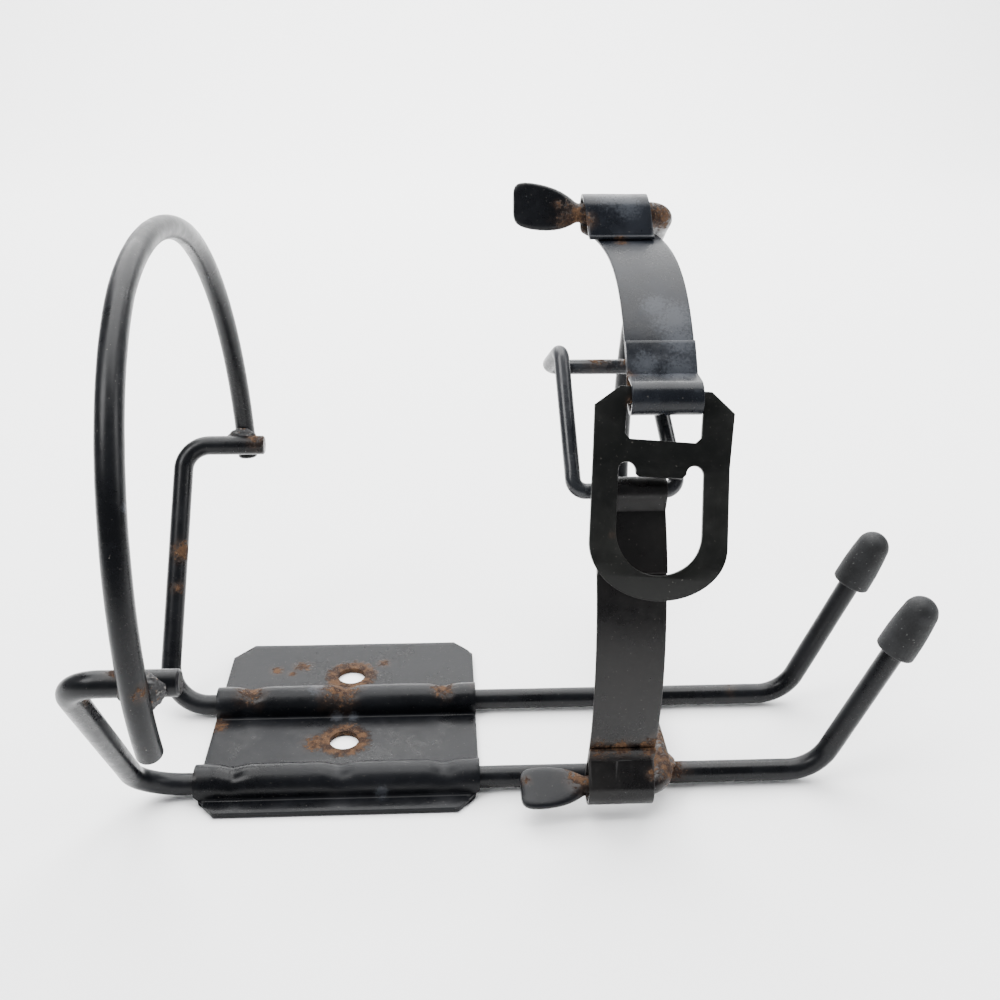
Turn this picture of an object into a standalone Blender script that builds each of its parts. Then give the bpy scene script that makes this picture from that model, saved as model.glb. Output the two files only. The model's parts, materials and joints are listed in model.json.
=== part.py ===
"""Wire-form wall bracket for a round bottle or cylinder, with a two-part steel strap and an over-centre latch.

The bracket lies on its back: Z points away from the wall, X runs along the cylinder and Y runs across it.
Lengths are in metres. Everything hangs from one empty at the middle of the two long rods.
"""
import math

import bmesh
import bpy
from mathutils import Matrix, Vector

OBJECT_NAME = "cylinder_strap_bracket"

# Clearance between pieces that touch.
GAP = 0.0003

# Heavy wire: the rods, the hoop and the bow.
WIRE_R = 0.003
ROD_SPACING = 0.037
ROD_Z = 0.0032
CRADLE_AXIS_Z = 0.077
MIDLINE_Y = 0.008

# The two rods: a raised arm at the hoop end and an upturned hook at the other end.
ARM_X = -0.0516
ARM_FOOT_X = -0.0541
ARM_HALF_SPAN = 0.0663
ARM_Z = 0.0688
ARM_TIP_X = -0.0266
ARM_BEND_R = 0.008
ARM_FOOT_BEND_R = 0.012
FRONT_HOOK_X = 0.1338
REAR_HOOK_X = 0.1348
HOOK_BEND_R = 0.012
HOOK_LENGTH = 0.0550
FRONT_HOOK_ANGLE = math.radians(66.5)
REAR_HOOK_ANGLE = math.radians(67.5)

# The hoop that goes over the cylinder.
HOOP_X = -0.0341
HOOP_LEAN = math.radians(2.6)
HOOP_FRONT_PAST = math.radians(110.0)
HOOP_REAR_PAST = math.radians(101.5)

# The bow behind the cylinder, which ends in the two strap pins.
BOW_TOP_X = 0.0910
BOW_FLOOR_X = 0.0886
BOW_R = 0.0800
BOW_BEND_R = 0.0054
BOW_FLATTENS = math.radians(36.0)
TOP_PIN_Y = 0.038
LOWER_PIN_Y = -0.0295
LOWER_PIN_Z = 0.0082
BOW_DIPS_Y = -0.0190
PIN_NECK_X = 0.0672
PADDLE_LENGTH = 0.0175
PADDLE_WIDTH = 0.0122
PADDLE_THICKNESS = 0.0024
NECK_R = 0.0025

# Mounting plate.
PLATE_LENGTH = 0.078
PLATE_FRONT_Y = -0.0290
PLATE_REAR_Y = 0.0540
PLATE_T = 0.0015
PLATE_CORNER_X = 0.0060
PLATE_CORNER_Y = 0.0072
CHANNEL_ROOM = 0.0007
SCREW_HOLE_R = 0.00425
SCREW_HOLE_YS = (0.0018, 0.0352)

# Straps.
LOWER_STRAP_X = 0.0763
UPPER_STRAP_X = 0.0770
STRAP_W = 0.0175
STRAP_T = 0.0010
STRAP_R = 0.069
PIN_LOOP_ROOM = 0.0010
FLAP_RISE = math.radians(55.0)
LOWER_CHORD = 0.0828
LOWER_LEAN = math.radians(8.1)
LOWER_PIN_FLAP = 0.0125
BAIL_FLAP = 0.0200
UPPER_CHORD = 0.0622
UPPER_DIP = math.radians(33.3)
UPPER_PIN_FLAP = 0.0090
LEVER_FLAP = 0.0150
UPPER_DRIFT = 0.0071
DRIFT_STARTS = 0.10

# Latch lever.
LEVER_T = 0.0015
LEVER_HANG = math.radians(25.2)
LEVER_BAR_W = 0.0042
LEVER_TOP_HALF = 0.01125
LEVER_SHOULDER_HALF = 0.0172
LEVER_SHOULDER_DROP = 0.0028
LEVER_HALF = 0.0168
LEVER_LENGTH = 0.0496
LEVER_ROUND = 0.0136
SLOT_HALF = 0.0094
SLOT_BOTTOM = 0.0106
SLOT_CORNER = 0.0013
GRIP_HALF = 0.0105
GRIP_TOP = 0.0162
GRIP_BOTTOM = 0.0435
TAB_DEPTH = 0.0034
TAB_HALF = 0.0062
TAB_CORNER = 0.0010
LEVER_BENDS = ((0.0166, math.radians(-9.0)), (0.0400, math.radians(16.0)))
LEVER_LOOP_ROOM = 0.0009
LEVER_SKEW = math.radians(4.5)

# Latch bail.
BAIL_R = 0.002
BAIL_LOOP_ROOM = 0.0004
BAIL_HALF = 0.0131
BAIL_TOP_HALF = 0.0112
BAIL_LEG = 0.0372
BAIL_LEAN = math.radians(39.0)
BAIL_SHIFT = -0.0010
BAIL_DRIFT = -0.0038
BAIL_HOOK_SPREAD = -0.0020
BAIL_CORNER_R = 0.0032
BAIL_TOP_R = 0.0030
BAIL_HOOK = 0.0150
BAIL_HOOK_DROP = math.radians(-35.0)

# Rubber caps.
CAP_R = 0.0054
CAP_TIP_R = 0.0047
CAP_LENGTH = 0.0176
CAP_BORE_DEPTH = 0.0132

# Weld beads.
BEAD_R = 0.0052

# Fineness.
WIRE_SIDES = 4
BEND_STEP = math.radians(15.0)
LOOP_STEP = math.radians(20.0)
SECTION_SIDES = 16


def clear_scene():
    for item in list(bpy.data.objects):
        bpy.data.objects.remove(item, do_unlink=True)


def new_collection(name):
    group = bpy.data.collections.new(name)
    bpy.context.scene.collection.children.link(group)
    return group


clear_scene()
PARTS = new_collection(OBJECT_NAME)
CUTTERS = new_collection(OBJECT_NAME + "_cutters")
MIDLINE = bpy.data.objects.new("cradle_midline", None)
MIDLINE.location = (0.0, MIDLINE_Y, 0.0)
PARTS.objects.link(MIDLINE)


def material(name, colour, roughness, metallic):
    made = bpy.data.materials.new(name)
    made.use_nodes = True
    shader = made.node_tree.nodes["Principled BSDF"]
    shader.inputs["Base Color"].default_value = (*colour, 1.0)
    shader.inputs["Roughness"].default_value = roughness
    shader.inputs["Metallic"].default_value = metallic
    made.diffuse_color = (*colour, 1.0)
    return made


def plate_paint():
    return material("plate_black_paint", (0.014, 0.016, 0.019), 0.36, 0.0)


def wire_paint(name):
    return material(name + "_black_paint", (0.011, 0.013, 0.016), 0.28, 0.0)


def strap_paint(name):
    return material(name + "_black_paint", (0.018, 0.021, 0.026), 0.30, 0.2)


def lever_paint():
    return material("lever_olive_black", (0.022, 0.024, 0.020), 0.42, 0.2)


def cap_rubber(name):
    return material(name + "_rubber", (0.016, 0.016, 0.017), 0.72, 0.0)


def bead_metal(name):
    return material(name + "_burnt_steel", (0.10, 0.075, 0.055), 0.60, 0.4)


def add_part(name, data, made_of, at=(0.0, 0.0, 0.0)):
    """Link a mesh or curve as one named sub-part, placed on the cradle midline."""
    part = bpy.data.objects.new(name, data)
    part.location = at
    part.parent = MIDLINE
    part.data.materials.append(made_of)
    PARTS.objects.link(part)
    return part


def add_cutter(part):
    for group in list(part.users_collection):
        group.objects.unlink(part)
    CUTTERS.objects.link(part)
    part.hide_render = True
    part.display_type = "WIRE"
    return part


def cut(part, tool):
    step = part.modifiers.new("cut_" + tool.name, "BOOLEAN")
    step.operation = "DIFFERENCE"
    step.object = tool


def shade_round(data, limit=math.radians(35.0)):
    data.shade_smooth()
    data.set_sharp_from_angle(angle=limit)


def rounded_path(points, radii):
    """A polyline whose corners are replaced by arcs; radii holds one value for each inner point."""
    points = [Vector(p) for p in points]
    path = [points[0]]
    for before, corner, after, radius in zip(points, points[1:], points[2:], radii):
        into = (before - corner).normalized()
        out = (after - corner).normalized()
        turn = math.pi - into.angle(out)
        if radius <= 0.0 or turn < 1e-4:
            path.append(corner)
            continue
        reach = radius * math.tan(turn / 2)
        centre = corner + (into + out).normalized() * (radius / math.cos(turn / 2))
        start = corner + into * reach - centre
        axis = start.cross(corner + out * reach - centre).normalized()
        steps = max(2, math.ceil(turn / BEND_STEP))
        path += [centre + Matrix.Rotation(turn * i / steps, 3, axis) @ start for i in range(steps + 1)]
    path.append(points[-1])
    return path


def rounded_ring(points, radii):
    """The same for a closed ring of corners."""
    count = len(points)
    ring = []
    for i, radius in enumerate(radii):
        three = (points[i - 1], points[i], points[(i + 1) % count])
        ring += rounded_path(three, (radius,))[1:-1]
    return ring


def wire_data(name, path, radius, closed=False):
    data = bpy.data.curves.new(name, "CURVE")
    data.dimensions = "3D"
    data.bevel_depth = radius
    data.bevel_resolution = WIRE_SIDES
    data.use_fill_caps = not closed
    line = data.splines.new("POLY")
    line.points.add(len(path) - 1)
    for knot, point in zip(line.points, path):
        knot.co = (*point, 1.0)
    line.use_cyclic_u = closed
    line.use_smooth = True
    return data


def mesh_from_curve(curve_object):
    """A closed mesh copy of a curve object, which is then removed."""
    bpy.context.view_layer.update()
    graph = bpy.context.evaluated_depsgraph_get()
    data = bpy.data.meshes.new_from_object(curve_object.evaluated_get(graph))
    form = bmesh.new()
    form.from_mesh(data)
    bmesh.ops.remove_doubles(form, verts=form.verts, dist=1e-6)
    bmesh.ops.recalc_face_normals(form, faces=form.faces)
    form.to_mesh(data)
    form.free()
    made = bpy.data.objects.new(curve_object.name + "_mesh", data)
    made.matrix_world = curve_object.matrix_world
    bpy.data.objects.remove(curve_object, do_unlink=True)
    return made


def lathe(name, profile, steps=24):
    """A profile of (radius, height) points turned about Z, from the top down its outer side."""
    data = bpy.data.meshes.new(name)
    data.from_pydata([(r, 0.0, z) for r, z in profile], [(i, i + 1) for i in range(len(profile) - 1)], [])
    form = bpy.data.objects.new(name + "_turned", data)
    screw = form.modifiers.new("turn", "SCREW")
    screw.axis = "Z"
    screw.steps = steps
    screw.render_steps = steps
    screw.use_merge_vertices = True
    screw.merge_threshold = 1e-6
    CUTTERS.objects.link(form)
    made = mesh_from_curve(form)
    return made.data


def plate_profile():
    """Mid-surface of the plate across the rods, with a half-round channel over each rod."""
    half_t = PLATE_T / 2
    inner = WIRE_R + CHANNEL_ROOM
    radius = inner + half_t
    centre_z = ROD_Z
    spring = math.asin((centre_z - half_t) / radius)
    line = [(PLATE_FRONT_Y, half_t)]
    for rod_y in (-ROD_SPACING / 2, ROD_SPACING / 2):
        first = math.pi + spring
        last = -spring
        steps = 12
        for i in range(steps + 1):
            angle = first + (last - first) * i / steps
            line.append((rod_y + radius * math.cos(angle), centre_z + radius * math.sin(angle)))
    line.append((PLATE_REAR_Y, half_t))
    return line


def corner_cutter(name, corner, toward):
    """A wedge that takes one corner off the plate."""
    over = 0.004
    x, y = corner
    sx, sy = toward
    outline = [
        (x + sx * over, y + sy * over),
        (x + sx * over, y - sy * (PLATE_CORNER_Y + over * PLATE_CORNER_Y / PLATE_CORNER_X)),
        (x - sx * (PLATE_CORNER_X + over * PLATE_CORNER_X / PLATE_CORNER_Y), y + sy * over),
    ]
    form = bmesh.new()
    base = form.faces.new([form.verts.new((px, py, -over)) for px, py in outline])
    side = bmesh.ops.extrude_face_region(form, geom=[base])["geom"]
    bmesh.ops.translate(form, vec=(0, 0, 5 * over), verts=[v for v in side if isinstance(v, bmesh.types.BMVert)])
    bmesh.ops.recalc_face_normals(form, faces=form.faces)
    data = bpy.data.meshes.new(name)
    form.to_mesh(data)
    form.free()
    tool = bpy.data.objects.new(name, data)
    tool.parent = MIDLINE
    return add_cutter(tool)


def hole_cutter(name, at, radius):
    form = bmesh.new()
    bmesh.ops.create_cone(form, cap_ends=True, segments=32, radius1=radius, radius2=radius, depth=8 * PLATE_T)
    data = bpy.data.meshes.new(name)
    form.to_mesh(data)
    form.free()
    tool = bpy.data.objects.new(name, data)
    tool.location = at
    tool.parent = MIDLINE
    return add_cutter(tool)


def base_plate():
    half = PLATE_LENGTH / 2
    line = plate_profile()
    verts = [(x, y, z) for x in (-half, half) for y, z in line]
    count = len(line)
    faces = [(i, count + i, count + i + 1, i + 1) for i in range(count - 1)]
    data = bpy.data.meshes.new("base_plate")
    data.from_pydata(verts, [], faces)
    plate = add_part("base_plate", data, plate_paint())
    sheet = plate.modifiers.new("sheet", "SOLIDIFY")
    sheet.thickness = PLATE_T
    sheet.offset = 0.0
    sheet.use_even_offset = True
    for y, sy in ((PLATE_FRONT_Y, -1), (PLATE_REAR_Y, 1)):
        for sx in (-1, 1):
            cut(plate, corner_cutter("plate_corner_%d_%d" % (sx, sy), (sx * half, y), (sx, sy)))
    for number, y in enumerate(SCREW_HOLE_YS, 1):
        cut(plate, hole_cutter("screw_hole_%d" % number, (0.0, y, PLATE_T / 2), SCREW_HOLE_R))
    shade_round(data)


def hook_direction(angle):
    return Vector((math.cos(angle), 0.0, math.sin(angle)))


def hook_x(side):
    return FRONT_HOOK_X if side < 0 else REAR_HOOK_X


def rod_path(side, angle):
    """Centre line of one rod; side is -1 for the front rod and +1 for the rear one."""
    rod_y = side * ROD_SPACING / 2
    arm_y = side * ARM_HALF_SPAN
    corner = Vector((hook_x(side), rod_y, ROD_Z))
    points = [
        (ARM_TIP_X, arm_y, ARM_Z),
        (ARM_X, arm_y, ARM_Z),
        (ARM_FOOT_X, rod_y, ROD_Z),
        corner,
        corner + hook_direction(angle) * HOOK_LENGTH,
    ]
    return rounded_path(points, (ARM_BEND_R, ARM_FOOT_BEND_R, HOOK_BEND_R))


def rods():
    for name, side, angle in (("front_rod", -1, FRONT_HOOK_ANGLE), ("rear_rod", 1, REAR_HOOK_ANGLE)):
        add_part(name, wire_data(name, rod_path(side, angle), WIRE_R), wire_paint(name))


def cap_profile():
    """Outer wall from the tip down, then the bore from the mouth up to its end."""
    dome_base = CAP_LENGTH - CAP_TIP_R
    dome = [
        (CAP_TIP_R * math.sin(a), dome_base + CAP_TIP_R * math.cos(a))
        for a in (math.radians(15.0 * i) for i in range(7))
    ]
    bore = WIRE_R + GAP
    rim = 0.0004
    walls = [(CAP_R, 0.45 * dome_base), (CAP_R, rim), (CAP_R - rim, 0.0)]
    return dome + walls + [(bore, 0.0), (bore, CAP_BORE_DEPTH), (0.0, CAP_BORE_DEPTH)]


def caps():
    for name, side, angle in (("front_cap", -1, FRONT_HOOK_ANGLE), ("rear_cap", 1, REAR_HOOK_ANGLE)):
        data = lathe(name, cap_profile())
        shade_round(data)
        rod_end = HOOK_LENGTH - (CAP_BORE_DEPTH - GAP)
        base = Vector((hook_x(side), side * ROD_SPACING / 2, ROD_Z)) + hook_direction(angle) * rod_end
        cap = add_part(name, data, cap_rubber(name), base)
        cap.rotation_euler = (0.0, math.pi / 2 - angle, 0.0)


def hoop_wire_y():
    """Distance of the hoop's wire from the midline where it passes the rod arms."""
    return ARM_HALF_SPAN + 2 * WIRE_R + GAP


def hoop_radius():
    """The hoop passes outside the tips of the rod arms."""
    return math.hypot(hoop_wire_y(), CRADLE_AXIS_Z - ARM_Z)


def hoop_frame():
    """The hoop's own frame: its origin is level with the rod arms and it leans back."""
    return Matrix.Translation((HOOP_X, 0.0, ARM_Z)) @ Matrix.Rotation(-HOOP_LEAN, 4, "Y")


def hoop_path():
    radius = hoop_radius()
    rise = CRADLE_AXIS_Z - ARM_Z
    steps = 44
    path = []
    for i in range(steps + 1):
        angle = -HOOP_REAR_PAST + (HOOP_FRONT_PAST + HOOP_REAR_PAST) * i / steps
        path.append(Vector((0.0, -radius * math.sin(angle), rise + radius * math.cos(angle))))
    return path


def base_hoop():
    hoop = add_part("base_hoop", wire_data("base_hoop", hoop_path(), WIRE_R), wire_paint("base_hoop"))
    place = hoop_frame()
    hoop.location = place.to_translation()
    hoop.rotation_euler = place.to_euler()


def bow_floor():
    """Height of the bow where it crosses over the rods."""
    return ROD_Z + 2 * WIRE_R + GAP


def top_pin():
    return Vector((TOP_PIN_Y, CRADLE_AXIS_Z + math.sqrt(BOW_R ** 2 - TOP_PIN_Y ** 2)))


def lower_pin():
    return Vector((LOWER_PIN_Y, LOWER_PIN_Z))


def bow_x(z):
    """The bow stands a little askew, so its distance along the rods grows with height."""
    share = (z - bow_floor()) / (top_pin().y - bow_floor())
    return BOW_FLOOR_X + (BOW_TOP_X - BOW_FLOOR_X) * share


def bow_path():
    """Centre line from the neck of the top pin, round behind the cylinder, to the neck of the lower pin."""
    top = top_pin()
    low = lower_pin()
    start = math.atan2(top.x, top.y - CRADLE_AXIS_Z)
    last = math.pi - BOW_FLATTENS
    first = start + math.radians(7.0)
    arc = []
    steps = 30
    for i in range(steps + 1):
        angle = first + (last - first) * i / steps
        z = CRADLE_AXIS_Z + BOW_R * math.cos(angle)
        arc.append((bow_x(z), BOW_R * math.sin(angle), z))
    head = rounded_path(((PIN_NECK_X, *top), (bow_x(top.y), *top), arc[0]), (BOW_BEND_R,))
    floor_z = bow_floor()
    floor_y = arc[-1][1] - (arc[-1][2] - floor_z) / math.tan(BOW_FLATTENS)
    dip = (BOW_FLOOR_X, BOW_DIPS_Y, floor_z)
    tail_points = (arc[-1], (BOW_FLOOR_X, floor_y, floor_z), dip, (BOW_FLOOR_X, *low), (PIN_NECK_X, *low))
    tail = rounded_path(tail_points, (2 * BOW_BEND_R, 0.0, BOW_BEND_R))
    return head[:-1] + [Vector(p) for p in arc] + tail[1:]


def section(half_u, half_v, squareness):
    """One closed cross-section; squareness 1 is an ellipse and less is a rounded slab."""
    ring = []
    for i in range(SECTION_SIDES):
        angle = 2 * math.pi * (i + 0.5) / SECTION_SIDES
        c, s = math.cos(angle), math.sin(angle)
        u = half_u * math.copysign(abs(c) ** squareness, c)
        v = half_v * math.copysign(abs(s) ** squareness, s)
        ring.append((u, v))
    return ring


PADDLE_SHAPE = (
    # share of the length, share of the half width, share of the half thickness, squareness
    (0.00, 0.00, 0.00, 1.00),
    (0.10, 0.30, 0.30, 0.90),
    (0.26, 0.66, 0.78, 0.72),
    (0.45, 0.90, 0.95, 0.60),
    (0.68, 1.00, 1.00, 0.55),
    (0.86, 0.95, 1.00, 0.55),
    (0.96, 0.86, 0.94, 0.55),
    (1.00, 0.78, 0.72, 0.55),
)


def bow_rings():
    """Sections of the bow in order: flattened end, wire, flattened end."""
    path = bow_path()
    rings = []
    flats = (Vector((0.0, 0.0, 1.0)), Vector((0.0, 1.0, 0.0)))
    ends = ((path[0], flats[0]), (path[-1], flats[1]))
    for (neck, wide), backwards in zip(ends, (True, False)):
        thin = wide.cross(Vector((-1.0, 0.0, 0.0))).normalized()
        blade = []
        for along, width, depth, square in PADDLE_SHAPE:
            half_u = NECK_R + (PADDLE_WIDTH / 2 - NECK_R) * width
            half_v = NECK_R + (PADDLE_THICKNESS / 2 - NECK_R) * depth
            centre = neck - Vector((PADDLE_LENGTH * along, 0.0, 0.0))
            blade.append([centre + wide * u + thin * v for u, v in section(half_u, half_v, square)])
        if backwards:
            rings = blade[:0:-1]
            rings += wire_sections(path, flats[0])
        else:
            rings += matched(blade[1:], rings[-1])
    return rings


def wire_sections(path, wide):
    """Round sections square to the path, carried along it without twisting."""
    rings = []
    side = wide
    for i, point in enumerate(path):
        ahead = path[min(i + 1, len(path) - 1)] - path[max(i - 1, 0)]
        ahead = ahead.normalized()
        side = (side - ahead * side.dot(ahead)).normalized()
        third = side.cross(ahead)
        radius = NECK_R if i in (0, len(path) - 1) else WIRE_R
        rings.append([point + side * u + third * v for u, v in section(radius, radius, 1.0)])
        if i == 0:
            rings.append([p + Vector((NECK_R, 0, 0)) for p in ring_at(point, side, third)])
        if i == len(path) - 2:
            neck = path[-1] + Vector((NECK_R, 0, 0))
            rings.append(ring_at(neck, side, third))
    return rings


def ring_at(point, side, third):
    return [point + side * u + third * v for u, v in section(WIRE_R, WIRE_R, 1.0)]


def matched(blade, before):
    """Turn the blade's rings so that their points line up with the ring before them."""
    first = blade[0]
    count = len(first)
    options = []
    for ring_way in (1, -1):
        for shift in range(count):
            order = [(shift + ring_way * i) % count for i in range(count)]
            total = sum((first[k] - before[i]).length for i, k in enumerate(order))
            options.append((total, order))
    order = min(options)[1]
    return [[ring[k] for k in order] for ring in blade]


def loft(name, rings):
    form = bmesh.new()
    rows = [[form.verts.new(p) for p in ring] for ring in rings]
    count = len(rows[0])
    for a, b in zip(rows, rows[1:]):
        for i in range(count):
            j = (i + 1) % count
            form.faces.new((a[i], a[j], b[j], b[i]))
    form.faces.new(rows[0])
    form.faces.new(rows[-1])
    bmesh.ops.recalc_face_normals(form, faces=form.faces)
    data = bpy.data.meshes.new(name)
    form.to_mesh(data)
    form.free()
    shade_round(data)
    return data


def strap_bow():
    add_part("strap_bow", loft("strap_bow", bow_rings()), wire_paint("strap_bow"))


def loop_run(radius, flap_end):
    """Half of a strap outline in (along, out): the flap, the loop and the strap under it.

    The loop's centre is at (0, radius). The run starts at the flap's free end.
    """
    out = STRAP_T + GAP
    leave = FLAP_RISE
    fall = (radius + radius * math.cos(leave) - out) / math.sin(leave)
    touch = radius * math.sin(leave) + fall * math.cos(leave)
    end = max(flap_end, touch + STRAP_T)
    run = [(end, out), (touch, out)]
    steps = math.ceil((math.pi + leave) / LOOP_STEP)
    for i in range(steps + 1):
        angle = leave - (math.pi + leave) * i / steps
        run.append((radius * math.sin(angle), radius + radius * math.cos(angle)))
    return run


def strap_arc(start, start_r, end, end_r):
    """Centre of the arc, on the cradle's side, that passes inside both loop centres."""
    span = end - start
    a = STRAP_R + start_r
    b = STRAP_R + end_r
    along = (a * a - b * b + span.length_squared) / (2 * span.length)
    off = math.sqrt(a * a - along * along)
    unit = span.normalized()
    normal = Vector((unit.y, -unit.x))
    inward = Vector((0.0, CRADLE_AXIS_Z)) - (start + end) / 2
    return start + unit * along + normal * math.copysign(off, normal.dot(inward))


def strap_points(start, start_r, end, end_r, start_flap, end_flap):
    """The whole strap from flap to flap as (y, z, share of the length) points."""
    centre = strap_arc(start, start_r, end, end_r)
    first = math.atan2(start.y - centre.y, start.x - centre.x)
    last = math.atan2(end.y - centre.y, end.x - centre.x)
    turn = (last - first + math.pi) % (2 * math.pi) - math.pi
    length = abs(turn) * STRAP_R
    way = math.copysign(1.0, turn)
    run = list(loop_run(start_r, start_flap))
    pieces = max(4, math.ceil(length / 0.005))
    run += [(length * i / pieces, 0.0) for i in range(1, pieces)]
    run += [(length - s, h) for s, h in reversed(loop_run(end_r, end_flap))]
    points = []
    for s, h in run:
        angle = first + way * s / STRAP_R
        radius = STRAP_R + h
        share = min(1.0, max(0.0, s / length))
        points.append((centre.x + radius * math.cos(angle), centre.y + radius * math.sin(angle), share))
    return points


def drift_share(share):
    """How much of its sideways drift a strap has made, from 0 at its pin to 1 at its far loop."""
    start = min(1.0, share / DRIFT_STARTS)
    return (1 - (1 - share) ** 5) * start * start * (3 - 2 * start)


def strap(name, x, start, start_r, end, end_r, start_flap, end_flap, drift):
    """A bent strip of sheet, looped at both ends; its origin is at the centre of its pin loop."""
    points = strap_points(start, start_r, end, end_r, start_flap, end_flap)
    verts = []
    for side in (-1, 1):
        for y, z, share in points:
            verts.append((side * STRAP_W / 2 + drift * drift_share(share), y - start.x, z - start.y))
    count = len(points)
    faces = [(i, i + 1, count + i + 1, count + i) for i in range(count - 1)]
    data = bpy.data.meshes.new(name)
    data.from_pydata(verts, [], faces)
    made = add_part(name, data, strap_paint(name), (x, *start))
    sheet = made.modifiers.new("sheet", "SOLIDIFY")
    sheet.thickness = STRAP_T
    sheet.offset = 0.0
    sheet.use_even_offset = True
    shade_round(data)


def pin_loop_r():
    return WIRE_R + PIN_LOOP_ROOM + STRAP_T / 2


def bail_loop_r():
    return BAIL_R + BAIL_LOOP_ROOM + STRAP_T / 2


def lever_loop_r():
    half_diagonal = math.hypot(LEVER_BAR_W, LEVER_T) / 2
    return half_diagonal + LEVER_LOOP_ROOM + STRAP_T / 2


def bail_pivot():
    lean = Vector((math.sin(LOWER_LEAN), math.cos(LOWER_LEAN)))
    return lower_pin() + lean * LOWER_CHORD


def lever_pivot():
    dip = Vector((-math.cos(UPPER_DIP), -math.sin(UPPER_DIP)))
    return top_pin() + dip * UPPER_CHORD


def straps():
    pin_r = pin_loop_r()
    low = (lower_pin(), pin_r, bail_pivot(), bail_loop_r())
    strap("lower_strap", LOWER_STRAP_X, *low, LOWER_PIN_FLAP, BAIL_FLAP, 0.0)
    top = (top_pin(), pin_r, lever_pivot(), lever_loop_r())
    strap("upper_strap", UPPER_STRAP_X, *top, UPPER_PIN_FLAP, LEVER_FLAP, UPPER_DRIFT)


def arc_points(centre, half_u, half_w, first, last, steps):
    """Points on an ellipse in the lever's plane; angles in degrees from +u towards +w."""
    cu, cw = centre
    points = []
    for i in range(steps + 1):
        angle = math.radians(first + (last - first) * i / steps)
        points.append((cu + half_u * math.cos(angle), cw + half_w * math.sin(angle)))
    return points


def lever_outline():
    top = -LEVER_BAR_W / 2
    right = [(LEVER_TOP_HALF, top), (LEVER_SHOULDER_HALF, LEVER_SHOULDER_DROP), (LEVER_HALF, GRIP_TOP)]
    left = [(-u, w) for u, w in reversed(right)]
    low = (0.0, LEVER_LENGTH - LEVER_ROUND)
    return right + arc_points(low, LEVER_HALF, LEVER_ROUND, 0, 180, 16) + left


def slot_outline():
    top = LEVER_BAR_W / 2
    c = SLOT_CORNER
    return [
        (-SLOT_HALF, top),
        (SLOT_HALF, top),
        (SLOT_HALF, SLOT_BOTTOM - c),
        (SLOT_HALF - c, SLOT_BOTTOM),
        (-SLOT_HALF + c, SLOT_BOTTOM),
        (-SLOT_HALF, SLOT_BOTTOM - c),
    ]


def grip_outline():
    """The finger opening, with a tab between two round lobes at its top."""
    lobe = (GRIP_HALF - TAB_HALF) / 2
    centre_u = TAB_HALF + lobe
    centre_w = GRIP_TOP + lobe
    right = arc_points((centre_u, centre_w), lobe, lobe, 180, 360, 6)
    tab_end = GRIP_TOP + TAB_DEPTH
    tab = [(TAB_HALF - TAB_CORNER, tab_end), (TAB_HALF, tab_end - TAB_CORNER)]
    low = (0.0, GRIP_BOTTOM - GRIP_HALF)
    bottom = arc_points(low, GRIP_HALF, GRIP_HALF, 0, 180, 14)
    left = [(-u, w) for u, w in reversed(tab + right)]
    return bottom + left + tab + right


def bend_plate(data):
    """Fold the flat lever along its bend lines; y is the way down the lever and z is its thickness."""
    form = bmesh.new()
    form.from_mesh(data)
    for place, _ in LEVER_BENDS:
        everything = form.verts[:] + form.edges[:] + form.faces[:]
        bmesh.ops.bisect_plane(form, geom=everything, dist=1e-7, plane_co=(0, place, 0), plane_no=(0, 1, 0))
    for place, turn in reversed(LEVER_BENDS):
        beyond = [v for v in form.verts if v.co.y > place + 1e-6]
        pivot = Vector((0, place, 0))
        bmesh.ops.rotate(form, verts=beyond, cent=pivot, matrix=Matrix.Rotation(turn, 3, "X"))
    form.to_mesh(data)
    form.free()


def lever():
    flat = bpy.data.curves.new("lever_flat", "CURVE")
    flat.dimensions = "2D"
    flat.fill_mode = "BOTH"
    flat.extrude = LEVER_T / 2
    for outline in (lever_outline(), slot_outline(), grip_outline()):
        line = flat.splines.new("POLY")
        line.points.add(len(outline) - 1)
        for knot, (u, w) in zip(line.points, outline):
            knot.co = (u, w, 0.0, 1.0)
        line.use_cyclic_u = True
    blank = bpy.data.objects.new("lever_blank", flat)
    CUTTERS.objects.link(blank)
    data = mesh_from_curve(blank).data
    bend_plate(data)
    pivot = lever_pivot()
    plate = add_part("latch_lever", data, lever_paint(), (UPPER_STRAP_X + UPPER_DRIFT, *pivot))
    hang = Matrix.Rotation(-math.pi / 2 - LEVER_HANG, 3, "X") @ Matrix.Rotation(LEVER_SKEW, 3, "Z")
    plate.rotation_euler = hang.to_euler()
    shade_round(data)


def bail():
    """A wire ring hinged in the lower strap; its far side is turned back as a hook."""
    leg = Vector((0.0, math.sin(BAIL_LEAN), math.cos(BAIL_LEAN))) * BAIL_LEG
    reach = Vector((0.0, math.cos(BAIL_HOOK_DROP), math.sin(BAIL_HOOK_DROP))) * BAIL_HOOK
    slide = Vector((BAIL_DRIFT, 0.0, 0.0))
    left = Vector((-BAIL_TOP_HALF, 0.0, 0.0)) + slide
    spread = Vector((BAIL_HOOK_SPREAD, 0.0, 0.0))
    right = Vector((BAIL_TOP_HALF, 0.0, 0.0)) + slide
    corners = [
        Vector((-BAIL_HALF, 0.0, 0.0)),
        Vector((BAIL_HALF, 0.0, 0.0)),
        right + leg,
        right + leg + reach,
        left + leg + reach + spread,
        left + leg,
    ]
    radii = (BAIL_CORNER_R, BAIL_CORNER_R, BAIL_TOP_R, BAIL_TOP_R, BAIL_TOP_R, BAIL_TOP_R)
    ring = rounded_ring(corners, radii)
    data = wire_data("latch_bail", ring, BAIL_R, closed=True)
    add_part("latch_bail", data, wire_paint("latch_bail"), (LOWER_STRAP_X + BAIL_SHIFT, *bail_pivot()))


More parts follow.
